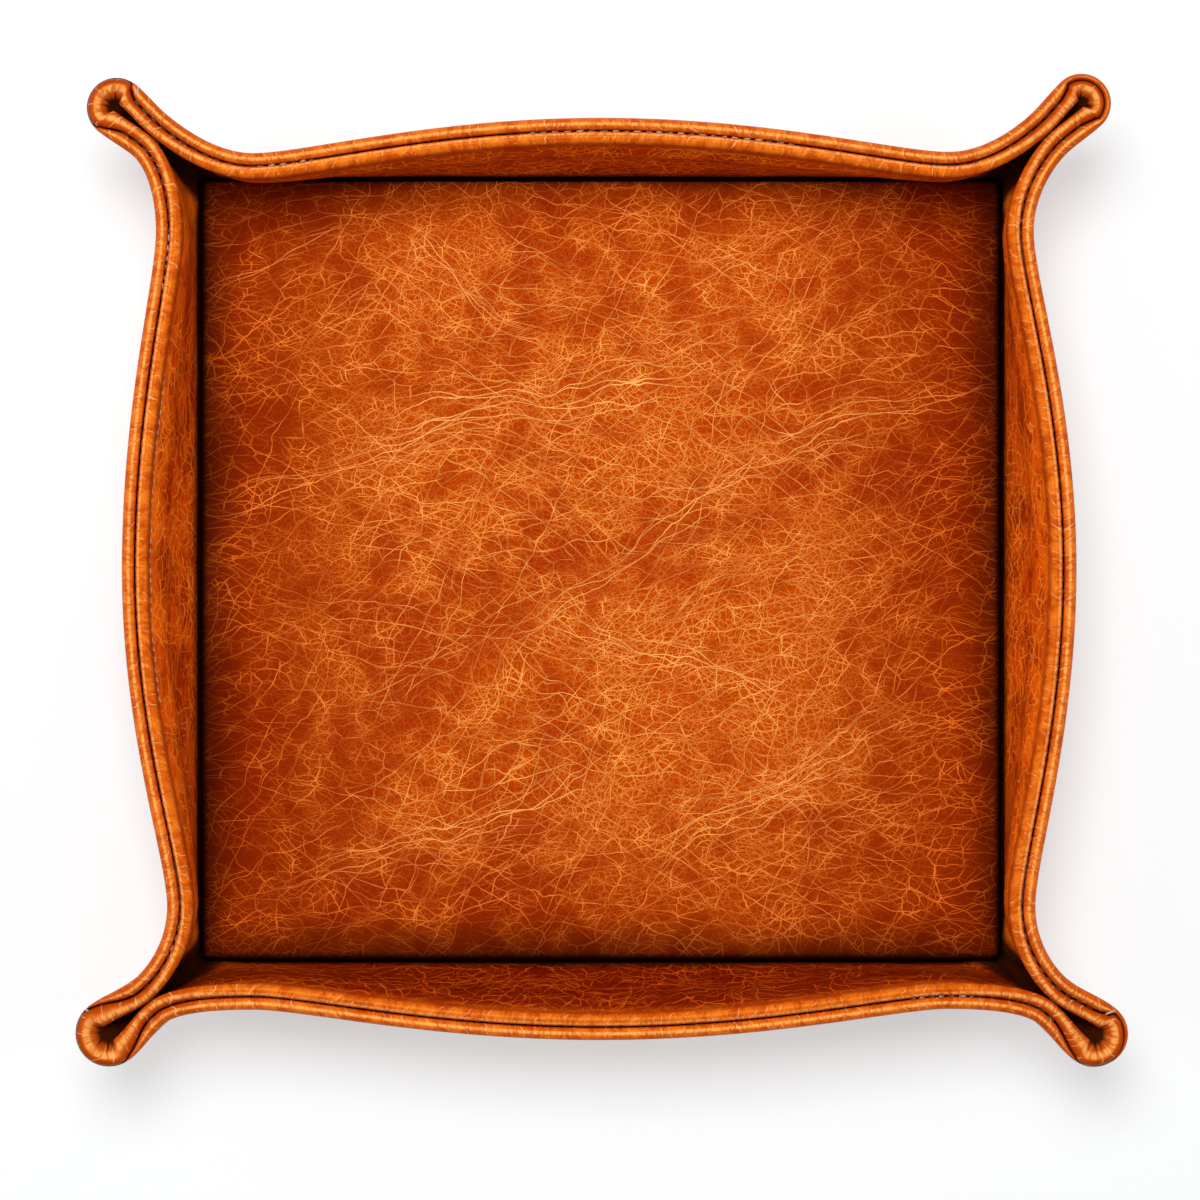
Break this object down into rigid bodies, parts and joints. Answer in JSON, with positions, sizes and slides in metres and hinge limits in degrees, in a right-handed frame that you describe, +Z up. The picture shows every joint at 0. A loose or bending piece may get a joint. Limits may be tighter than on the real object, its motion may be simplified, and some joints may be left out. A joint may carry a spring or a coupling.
{
  "type": "coin tray",
  "caption": "Shallow, nearly square leather tray: low bellied walls, a rolled and stitched rim, and a folded ear standing out at each corner.",
  "frame": {"origin": "centre of the flat underside, below the centre of the floor panel", "axes": "+Z up out of the tray, +X to the picture's right along the longer floor edge, +Y to the picture's top"},
  "size_m": [0.2535, 0.2391, 0.034],
  "materials": {
    "cover_leather": "burnt orange pull-up leather, satin, dark in the creases",
    "lining_leather": "burnt orange pull-up leather, satin, fine pale crackle",
    "panel_leather": "burnt orange pull-up leather with a dense pale crackle",
    "grey_board": "plain grey book board",
    "stiffener_board": "plain thin fibre board",
    "padding_felt": "plain grey felt",
    "filler_cord": "twisted cotton cord",
    "waxed_thread": "pale grey waxed thread"
  },
  "bodies": {
    "root": {"outer_cover": "cover_leather", "wall_lining": "lining_leather", "floor_panel_cover": "panel_leather", "floor_panel_board": "grey_board", "base_board": "grey_board", "wall_stiffener_front": "stiffener_board", "wall_stiffener_back": "stiffener_board", "wall_stiffener_left": "stiffener_board", "wall_stiffener_right": "stiffener_board", "wall_padding_front": "padding_felt", "wall_padding_back": "padding_felt", "wall_padding_left": "padding_felt", "wall_padding_right": "padding_felt", "outer_rim_cord": "filler_cord", "inner_rim_cord": "filler_cord", "rim_thread": "waxed_thread", "topstitch_thread": "waxed_thread", "bobbin_thread": "waxed_thread", "corner_tack_front_left": "waxed_thread", "corner_tack_front_right": "waxed_thread", "corner_tack_back_left": "waxed_thread", "corner_tack_back_right": "waxed_thread"}
  },
  "joints": []
}
